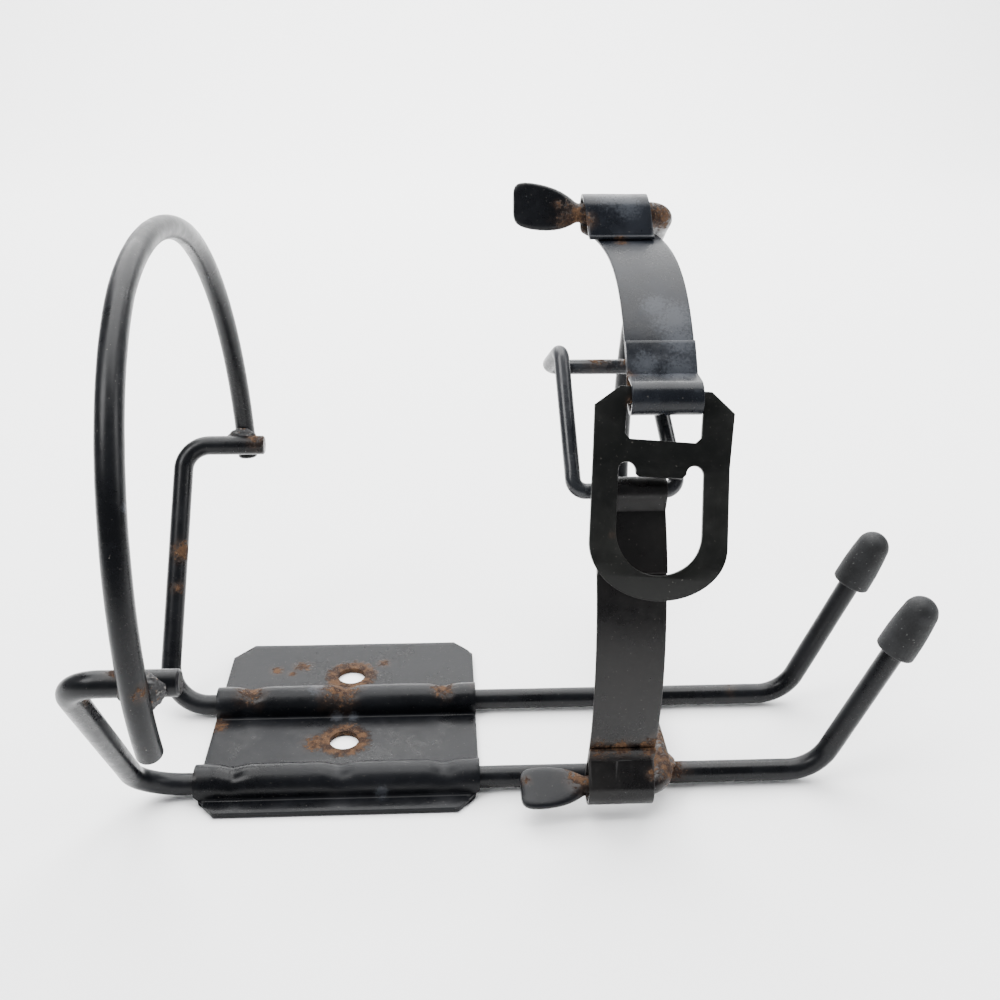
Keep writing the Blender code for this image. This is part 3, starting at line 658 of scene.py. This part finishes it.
# A flattened end, from its neck: share of length, of width and of flatness, and squareness of section.
BLADE = (
    (0.00, 0.00, 0.00, 1.00), (0.05, 0.10, 0.12, 0.97), (0.10, 0.28, 0.34, 0.90), (0.18, 0.50, 0.62, 0.80),
    (0.26, 0.68, 0.80, 0.72), (0.36, 0.83, 0.90, 0.64), (0.48, 0.94, 0.96, 0.58), (0.60, 1.00, 1.00, 0.54),
    (0.72, 1.01, 1.00, 0.52), (0.82, 0.97, 1.00, 0.50), (0.89, 0.89, 1.00, 0.50), (0.94, 0.77, 1.00, 0.52),
    (0.975, 0.58, 0.96, 0.56), (0.993, 0.36, 0.80, 0.65), (1.00, 0.12, 0.45, 0.80),
)


def blade_rings(neck, wide, rise, sides):
    """A flattened wire end; rise is how far it bends up over its length."""
    thin = wide.cross(Vector((-1.0, 0.0, 0.0))).normalized()
    rings = []
    for along, width, depth, square in BLADE:
        u = PADDLE["neck"] + (PADDLE["width"] / 2 - PADDLE["neck"]) * width
        v = PADDLE["neck"] + (PADDLE["thickness"] / 2 - PADDLE["neck"]) * depth
        centre = neck - Vector((PADDLE["length"] * along, 0.0, 0.0)) + wide * (rise * along)
        rings.append([centre + wide * a + thin * b for a, b in slab(u, v, square, sides)])
    return rings


def lined_up(blade, before):
    """The blade's rings with their points in the order that meets the wire's last ring with least twist."""
    count = len(before)
    best = None
    for way in (1, -1):
        for shift in range(count):
            order = [(shift + way * i) % count for i in range(count)]
            total = sum((blade[0][k] - before[i]).length for i, k in enumerate(order))
            if best is None or total < best[0]:
                best = (total, order)
    return [[ring[k] for k in best[1]] for ring in blade]


def build_bow():
    path = divided(bow_path(), 3.0)
    rings = wire_rings(path, WIRE_R, wobble=0.04)
    for index, neck in ((0, path[0]), (-1, path[-1])):
        rings[index] = [neck + (p - neck) * (PADDLE["neck"] / WIRE_R) for p in rings[index]]
    top = lined_up(blade_rings(path[0], Vector((0, 0.30, 0.954)), 2.4, WIRE_SIDES), rings[0])
    low = lined_up(blade_rings(path[-1], Vector((0, 0.94, 0.342)), -0.6, WIRE_SIDES), rings[-1])
    verts, faces = skin(top[:0:-1] + rings + low[1:])
    rust = [
        (67.0, 38.0, 145.7, 4.8), (68.0, 38.0, 143.0, 4.0), (67.0, -27.0, 9.5, 4.8), (66.0, -29.0, 11.0, 3.4),
        (89.0, 38.0, 146.0, 5.0), (90.0, 40.0, 149.0, 3.5),
        (90.0, -24.0, 10.0, 6.5), (90.5, -14.0, 10.0, 4.5),
        (62.0, 36.0, 150.0, 1.6), (51.0, -29.0, 11.0, 1.6),
    ]
    made_of = worn_paint("bow_paint", BLACK, 0.28, rust, rust_light=1.15)
    place_mesh("bow_wire", verts, faces, "bracket", "strap_bow", made_of)


# ---------------------------------------------------------------- straps

def loop_run(radius, flap_end):
    """Half of a strap's outline in (along, out): the flap from its free end, then the loop."""
    out = STRAP["t"] + GAP
    fall = (radius + radius * math.cos(FLAP_RISE) - out) / math.sin(FLAP_RISE)
    touch = radius * math.sin(FLAP_RISE) + fall * math.cos(FLAP_RISE)
    end = max(flap_end, touch + 1.0)
    count = max(2, math.ceil((end - touch) / 0.9))
    run = [(end + (touch - end) * i / count, out) for i in range(count + 1)]
    steps = 40
    for i in range(steps + 1):
        a = FLAP_RISE - (math.pi + FLAP_RISE) * i / steps
        run.append((radius * math.sin(a), radius + radius * math.cos(a)))
    return run


def strap_points(start, start_r, end, end_r, start_flap, end_flap):
    """The strap from flap to flap as (y, z, share of length, along, out), and its arc's centre."""
    arc_r = STRAP["radius"]
    span = end - start
    a, b = arc_r + start_r, arc_r + end_r
    along = (a * a - b * b + span.length_squared) / (2 * span.length)
    unit = span.normalized()
    normal = Vector((unit.y, -unit.x))
    inward = Vector((0.0, AXIS_Z)) - (start + end) / 2
    off = math.copysign(math.sqrt(a * a - along * along), normal.dot(inward))
    centre = start + unit * along + normal * off
    first = math.atan2(start.y - centre.y, start.x - centre.x)
    last = math.atan2(end.y - centre.y, end.x - centre.x)
    turn = (last - first + math.pi) % (2 * math.pi) - math.pi
    length = abs(turn) * arc_r
    way = math.copysign(1.0, turn)
    run = loop_run(start_r, start_flap)
    pieces = max(4, math.ceil(length / 0.9))
    run += [(length * i / pieces, 0.0) for i in range(1, pieces)]
    run += [(length - s, h) for s, h in reversed(loop_run(end_r, end_flap))]
    points = []
    for s, h in run:
        angle = first + way * s / arc_r
        r = arc_r + h
        share = min(1.0, max(0.0, s / length))
        points.append((centre.x + r * math.cos(angle), centre.y + r * math.sin(angle), share, s, h))
    return points, centre


def drift_share(share):
    """How much of its sideways drift a strap has made at this share of its length."""
    start = min(1.0, share / 0.10)
    return (1 - (1 - share) ** 5) * start * start * (3 - 2 * start)


def build_strap(node, x, run, drift, made_of, dimples):
    """A strap of one bent sheet; dimples are (distance along, offset across, radius, depth)."""
    points, centre = run
    columns = 20
    verts = []
    for c in range(columns + 1):
        across = (c / columns - 0.5) * STRAP["width"]
        for y, z, share, s, h in points:
            away = Vector((0.0, y - centre.x, z - centre.y)).normalized()
            push = 0.05 * noise.noise(Vector((across * 0.15, s * 0.12, h)))
            for ds, dc, radius, depth in dimples:
                d = math.hypot(s - ds, across - dc) / radius
                push += depth * (math.exp(-((d * 1.5) ** 2)) - 0.55 * math.exp(-(((d - 1.0) * 4.0) ** 2)))
            on_pin_flap = h > 0.6 and s < 12.0
            lateral = across + drift * drift_share(share) * (0.35 if on_pin_flap else 1.0)
            verts.append(Vector((x + lateral, y, z)) + away * push)
    count = len(points)
    faces = []
    for c in range(columns):
        for i in range(count - 1):
            a = c * count + i
            faces.append((a, a + 1, a + count + 1, a + count))
    piece = place_mesh(node + "_sheet", verts, faces, node, node, made_of)
    as_sheet(piece, STRAP["t"], 0.16)


def build_straps():
    half_t = STRAP["t"] / 2
    pin_r = WIRE_R + PIN_LOOP_ROOM + half_t
    bail_r = BAIL["r"] + BAIL["loop_room"] + half_t
    lever_r = math.hypot(LEVER["bar"], LEVER["t"]) / 2 + LEVER["loop_room"] + half_t

    low = LOWER_STRAP
    run = strap_points(LOWER_PIN, pin_r, BAIL_PIVOT, bail_r, low["pin_flap"], low["bail_flap"])
    rust = [
        (70.0, -30.0, 21.5, 3.0), (76.0, -31.0, 22.0, 2.6), (84.0, -31.0, 22.0, 3.2), (69.0, -27.0, 5.0, 3.0),
        (79.0, -29.0, 12.0, 2.2), (84.5, -33.0, 14.0, 1.6),
        (78.0, -20.0, 45.0, 1.7), (71.0, -14.0, 84.0, 2.4),
        (83.0, -21.0, 30.0, 1.4),
    ]
    made_of = worn_paint("lower_strap_paint", BROWN_BLACK, 0.30, rust, specks=0.4)
    build_strap("lower_strap", low["x"], run, 0.0, made_of, [(7.0, 1.0, 3.2, -0.18)])

    up = UPPER_STRAP
    run = strap_points(TOP_PIN, pin_r, LEVER_PIVOT, lever_r, up["pin_flap"], up["lever_flap"])
    rust = [
        (69.0, 33.0, 146.0, 2.2), (69.0, 38.0, 142.0, 2.6),
        (78.0, 28.5, 142.0, 1.6), (75.5, -13.0, 112.0, 2.0),
        (75.0, -9.0, 116.0, 2.2), (93.0, -13.0, 114.0, 1.6),
    ]
    # Painted highlights: pale blue-grey patches where light catches the upper strap's middle and its two
    # loops.
    scuffs_and_highlights = [
        (88.0, 3.0, 128.0, 4.4), (84.0, 6.0, 130.5, 3.0), (89.0, -2.0, 123.5, 3.4), (88.0, -8.0, 117.5, 3.8),
        (80.0, -7.0, 119.0, 3.0), (76.0, 37.5, 152.0, 4.0), (80.0, 34.5, 150.0, 3.0),
    ]
    made_of = worn_paint("upper_strap_paint", STRAP_BLACK, 0.29, rust, scuffs_and_highlights, specks=0.6, spec=0.25)
    build_strap("upper_strap", up["x"], run, up["drift"], made_of, [(up["chord"] - 7.5, 0.0, 3.4, -0.22)])


# ---------------------------------------------------------------- latch

def arc_points(centre, half_u, half_w, first, last, steps):
    """Points on an ellipse in the lever's plane; angles in degrees from +u towards +w."""
    cu, cw = centre
    points = []
    for i in range(steps + 1):
        a = math.radians(first + (last - first) * i / steps)
        points.append((cu + half_u * math.cos(a), cw + half_w * math.sin(a)))
    return points


def mirrored(points):
    return [(-u, w) for u, w in reversed(points)]


def lever_outlines():
    """The flat lever's rim, its slot for the strap and its finger opening, in (across, down)."""
    bar = LEVER["bar"] / 2
    form = LEVER_FORM
    right = [(LEVER["top"], -bar), (form["shoulder"], form["drop"]), (form["half"], LEVER_GRIP["top"])]
    low = (0.0, form["length"] - form["low_round"])
    outer = right + arc_points(low, form["half"], form["low_round"], 0, 180, 40) + mirrored(right)
    half, side, bottom = LEVER_SLOT["half"], LEVER_SLOT["side"], LEVER_SLOT["bottom"]
    foot = half - LEVER_SLOT["corner"]
    slot = [(-half, bar), (half, bar), (half, side), (foot, bottom), (-foot, bottom), (-half, side)]
    half, tab_u = LEVER_GRIP["half"], LEVER_GRIP["tab"]
    lobe = (half - tab_u) / 2
    right = arc_points((tab_u + lobe, LEVER_GRIP["top"] + lobe), lobe, lobe, 180, 360, 14)
    tab = [(5.2, 19.6), (tab_u, 18.6)]
    left_tab = arc_points((-5.0, 18.4), 1.2, 1.2, 180, 90, 5)
    grip = arc_points((0.0, LEVER_GRIP["centre"]), half, half, 0, 180, 32)
    grip += mirrored(right) + left_tab + tab + right
    return outer, slot, grip


def lever_blank():
    """The lever's flat mesh with a softened rim, made from a filled curve."""
    rim = 0.16
    flat = bpy.data.curves.new("lever_flat", "CURVE")
    flat.dimensions = "2D"
    flat.fill_mode = "BOTH"
    flat.extrude = (LEVER["t"] / 2 - rim) * MM
    flat.bevel_depth = rim * MM
    flat.bevel_resolution = 1
    flat.offset = -rim * MM
    for outline in lever_outlines():
        line = flat.splines.new("POLY")
        line.points.add(len(outline) - 1)
        for knot, (u, w) in zip(line.points, outline):
            knot.co = (u * MM, w * MM, 0.0, 1.0)
        line.use_cyclic_u = True
    blank = bpy.data.objects.new("lever_blank", flat)
    bpy.context.scene.collection.objects.link(blank)
    bpy.context.view_layer.update()
    data = bpy.data.meshes.new_from_object(blank.evaluated_get(bpy.context.evaluated_depsgraph_get()))
    bpy.data.objects.remove(blank, do_unlink=True)
    return data


def fold_lever(form):
    """Bends the flat lever across its width, each bend in a few small folds."""
    folds_each = 6
    folds = []
    for place, turn, width in LEVER_BENDS:
        for i in range(folds_each):
            at = place - width / 2 + width * (i + 0.5) / folds_each
            folds.append((at * MM, turn / folds_each))
    for at, _ in folds:
        everything = form.verts[:] + form.edges[:] + form.faces[:]
        bmesh.ops.bisect_plane(form, geom=everything, dist=1e-8, plane_co=(0, at, 0), plane_no=(0, 1, 0))
    for at, turn in reversed(folds):
        beyond = [v for v in form.verts if v.co.y > at + 1e-6]
        matrix = Matrix.Rotation(turn, 3, "X")
        bmesh.ops.rotate(form, verts=beyond, cent=Vector((0, at, 0)), matrix=matrix)


def build_lever():
    data = lever_blank()
    form = bmesh.new()
    form.from_mesh(data)
    bmesh.ops.remove_doubles(form, verts=form.verts, dist=1e-6)
    fold_lever(form)
    pivot = Vector((UPPER_STRAP["x"] + UPPER_STRAP["drift"], *LEVER_PIVOT))
    move = Matrix.Translation((pivot + SHIFT) * MM)
    move = move @ Matrix.Rotation(-math.pi / 2 - LEVER["hang"], 4, "X")
    move = move @ Matrix.Rotation(LEVER["skew"], 4, "Z")
    bmesh.ops.transform(form, matrix=move, verts=form.verts)
    bmesh.ops.recalc_face_normals(form, faces=form.faces)
    face = (move.to_3x3() @ Vector((0.0, 0.0, 1.0))).normalized()
    for f in form.faces:
        f.material_index = 1 if abs(f.normal.dot(face)) < 0.62 else 0
    form.to_mesh(data)
    form.free()
    rust = [(92.0, -14.0, 113.0, 1.2), (70.0, -30.0, 84.0, 1.2), (76.0, -14.0, 112.0, 1.6)]
    olive = worn_paint("lever_paint", OLIVE_BLACK, 0.36, rust)
    place_data("lever_plate", data, "lever", "latch_lever", olive)
    data.materials.append(worn_paint("lever_cut_edge", CUT_EDGE, 0.34, rust, specks=0.9))


def bail_path():
    """The bail's closed ring: its bar in the strap's loop, two legs and the hooked far side."""
    leg = Vector((0.0, math.sin(BAIL_LEAN), math.cos(BAIL_LEAN))) * BAIL["leg"]
    reach = Vector((0.0, math.cos(BAIL_HOOK_DROP), math.sin(BAIL_HOOK_DROP))) * BAIL["hook"]
    left = Vector((-BAIL["top_half"], 0.0, 0.0)) + Vector((BAIL["drift"], 0.0, 0.0))
    right = Vector((BAIL["top_half"], 0.0, 0.0)) + Vector((BAIL["drift"], 0.0, 0.0))
    corners = [
        Vector((-BAIL["half"], 0.0, 0.0)),
        Vector((BAIL["half"], 0.0, 0.0)),
        right + leg,
        right + leg + reach,
        left + leg + reach + Vector((BAIL_HOOK_SPREAD, 0.0, 0.0)),
        left + leg,
    ]
    at = Vector((LOWER_STRAP["x"] + BAIL["shift"], *BAIL_PIVOT))
    ring = []
    for i, radius in enumerate(BAIL_BENDS):
        three = (corners[i - 1] + at, corners[i] + at, corners[(i + 1) % len(corners)] + at)
        ring += rounded_path(three, (radius,), math.radians(9.0))[1:-1]
    ring.append(ring[0])
    return divided(ring, 3.0)[:-1]


def build_bail():
    rust = [
        (72.0, 20.0, 113.0, 4.0), (80.0, 18.0, 114.0, 3.0),
        (64.0, -14.0, 91.0, 2.0), (88.0, -14.0, 92.0, 2.0),
    ]
    # Pale blue-grey patches on the left leg and at the hook's left elbow.
    scuffs_and_highlights = [(62.0, 20.0, 112.0, 2.2), (62.2, 9.0, 116.0, 1.6)]
    made_of = worn_paint("bail_paint", BAIL_GREY, 0.27, rust, scuffs_and_highlights, specks=0.9, spec=0.40)
    verts, faces = skin(wire_rings(bail_path(), BAIL["r"], 24, closed=True), closed=True)
    place_mesh("bail_wire", verts, faces, "bail", "latch_bail", made_of)


# ---------------------------------------------------------------- caps and welds

def cap_profile():
    """A cap from its round tip down the outside and up its bore, as (radius, height)."""
    tip_r, r = CAP["tip_r"], CAP["r"]
    base = CAP["length"] - tip_r
    profile = []
    for i in range(1, 16):
        a = math.radians(6 * i)
        profile.append((tip_r * math.sin(a), base + tip_r * math.cos(a)))
    profile += [(4.95, base * 0.84), (5.15, base * 0.66), (r - 0.05, base * 0.45), (r, base * 0.22), (r, 0.8)]
    profile += [(r - 0.10, 0.35), (r - 0.45, 0.0), (CAP["bore_r"] + 0.4, 0.0)]
    return profile + [(CAP["bore_r"], 0.35), (CAP["bore_r"], CAP["bore"])]


def build_caps():
    steps = 56
    for side, node in ((-1, "front_cap"), (1, "rear_cap")):
        angle = HOOK_ANGLES[side]
        foot = Vector((HOOK_X[side], side * ROD_Y, ROD_Z))
        foot += Vector((math.cos(angle), 0.0, math.sin(angle))) * (HOOK_LENGTH - CAP["on_wire"])
        turn = Matrix.Translation(foot) @ Matrix.Rotation(math.pi / 2 - angle, 4, "Y")
        rings = []
        for rad, z in cap_profile():
            r = rad + 0.05 * noise.noise(Vector((rad, z * 0.3, side)))
            ring = []
            for k in range(steps):
                a = 2 * math.pi * k / steps
                ring.append(turn @ Vector((r * math.cos(a), r * math.sin(a), z)))
            rings.append(ring)
        verts, faces = skin(rings)
        place_mesh(node + "_rubber_form", verts, faces, "bracket", node, rubber(node + "_rubber_look"))


def build_welds():
    """Lumps of weld metal between the hoop and the arms, and between the bow and the rods."""
    hoop_y = ARM["y"] + WIRE_R + GAP / 2
    bow_z = (ROD_Z + BOW_FLOOR) / 2
    beads = (
        ("hoop_weld_front", (HOOP_X, -hoop_y, ARM["z"]), HOOP_WELD, 0.62),
        ("hoop_weld_rear", (HOOP_X, hoop_y, ARM["z"]), HOOP_WELD, 0.62),
        ("bow_weld_front", (BOW_FLOOR_X, -ROD_Y, bow_z), BOW_WELD, 0.50),
        ("bow_weld_rear", (BOW_FLOOR_X, ROD_Y, bow_z), BOW_WELD, 0.62),
    )
    for node, at, size, paintier in beads:
        form = bmesh.new()
        bmesh.ops.create_icosphere(form, subdivisions=5, radius=1.0)
        for v in form.verts:
            n = v.co.normalized()
            swell = 1.0 + 0.10 * noise.noise(n * 2.6 + Vector(at) * 0.1) + 0.05 * noise.noise(n * 7.0)
            v.co = (Vector(at) + SHIFT + Vector((n.x * size[0], n.y * size[1], n.z * size[2])) * swell) * MM
        data = bpy.data.meshes.new(node + "_lump")
        form.to_mesh(data)
        form.free()
        place_data(node + "_lump", data, "bracket", node, burnt(node + "_metal", paintier))


# ---------------------------------------------------------------- studio

def area(name, at, toward, size, power):
    """A rectangular light aimed at a point."""
    light = bpy.data.lights.new(name, "AREA")
    light.shape = "RECTANGLE"
    light.size, light.size_y = size
    light.energy = power
    made = bpy.data.objects.new(name, light)
    bpy.context.scene.collection.objects.link(made)
    made.location = at
    made.rotation_euler = (Vector(toward) - Vector(at)).to_track_quat("-Z", "Y").to_euler()


def backdrop():
    """A floor that curves up into a wall well behind the bracket."""
    bend_y, bend_r = 0.9, 0.5
    rows = [(-1.2, 0.0), (bend_y, 0.0)]
    for i in range(1, 16):
        t = math.radians(6 * i)
        rows.append((bend_y + bend_r * math.sin(t), bend_r - bend_r * math.cos(t)))
    rows.append((bend_y + bend_r, 1.8))
    columns = [-2.2 + 0.4 * i for i in range(12)]
    verts = [(x, y, z - 0.0004) for y, z in rows for x in columns]
    wide = len(columns)
    faces = []
    for r in range(len(rows) - 1):
        for c in range(wide - 1):
            a = r * wide + c
            faces.append((a, a + 1, a + wide + 1, a + wide))
    data = bpy.data.meshes.new("backdrop")
    data.from_pydata(verts, [], faces)
    data.shade_smooth()
    data.materials.append(floor_paint())
    made = bpy.data.objects.new("backdrop", data)
    bpy.context.scene.collection.objects.link(made)


def build_studio():
    """Pale sky light, a large top light, two small side lights and one on the backdrop."""
    world = bpy.data.worlds.new("studio")
    bpy.context.scene.world = world
    world.use_nodes = True
    sky = world.node_tree.nodes["Background"]
    sky.inputs["Color"].default_value = (0.93, 0.96, 1.0, 1.0)
    sky.inputs["Strength"].default_value = 0.46
    backdrop()
    area("top", (0.05, 0.25, 1.10), (0.05, 0.15, 0.0), (1.2, 1.0), 36.0)
    area("key", (-0.45, -0.25, 0.70), (0.05, 0.0, 0.05), (0.35, 0.35), 6.0)
    area("side", (0.75, -0.10, 0.55), (0.05, 0.0, 0.05), (0.30, 0.50), 4.0)
    area("back", (0.05, 1.00, 0.90), (0.05, 0.9, 0.0), (1.8, 0.6), 34.0)


build_plate()
build_rods()
build_hoop()
build_bow()
build_straps()
build_lever()
build_bail()
build_caps()
build_welds()
build_studio()
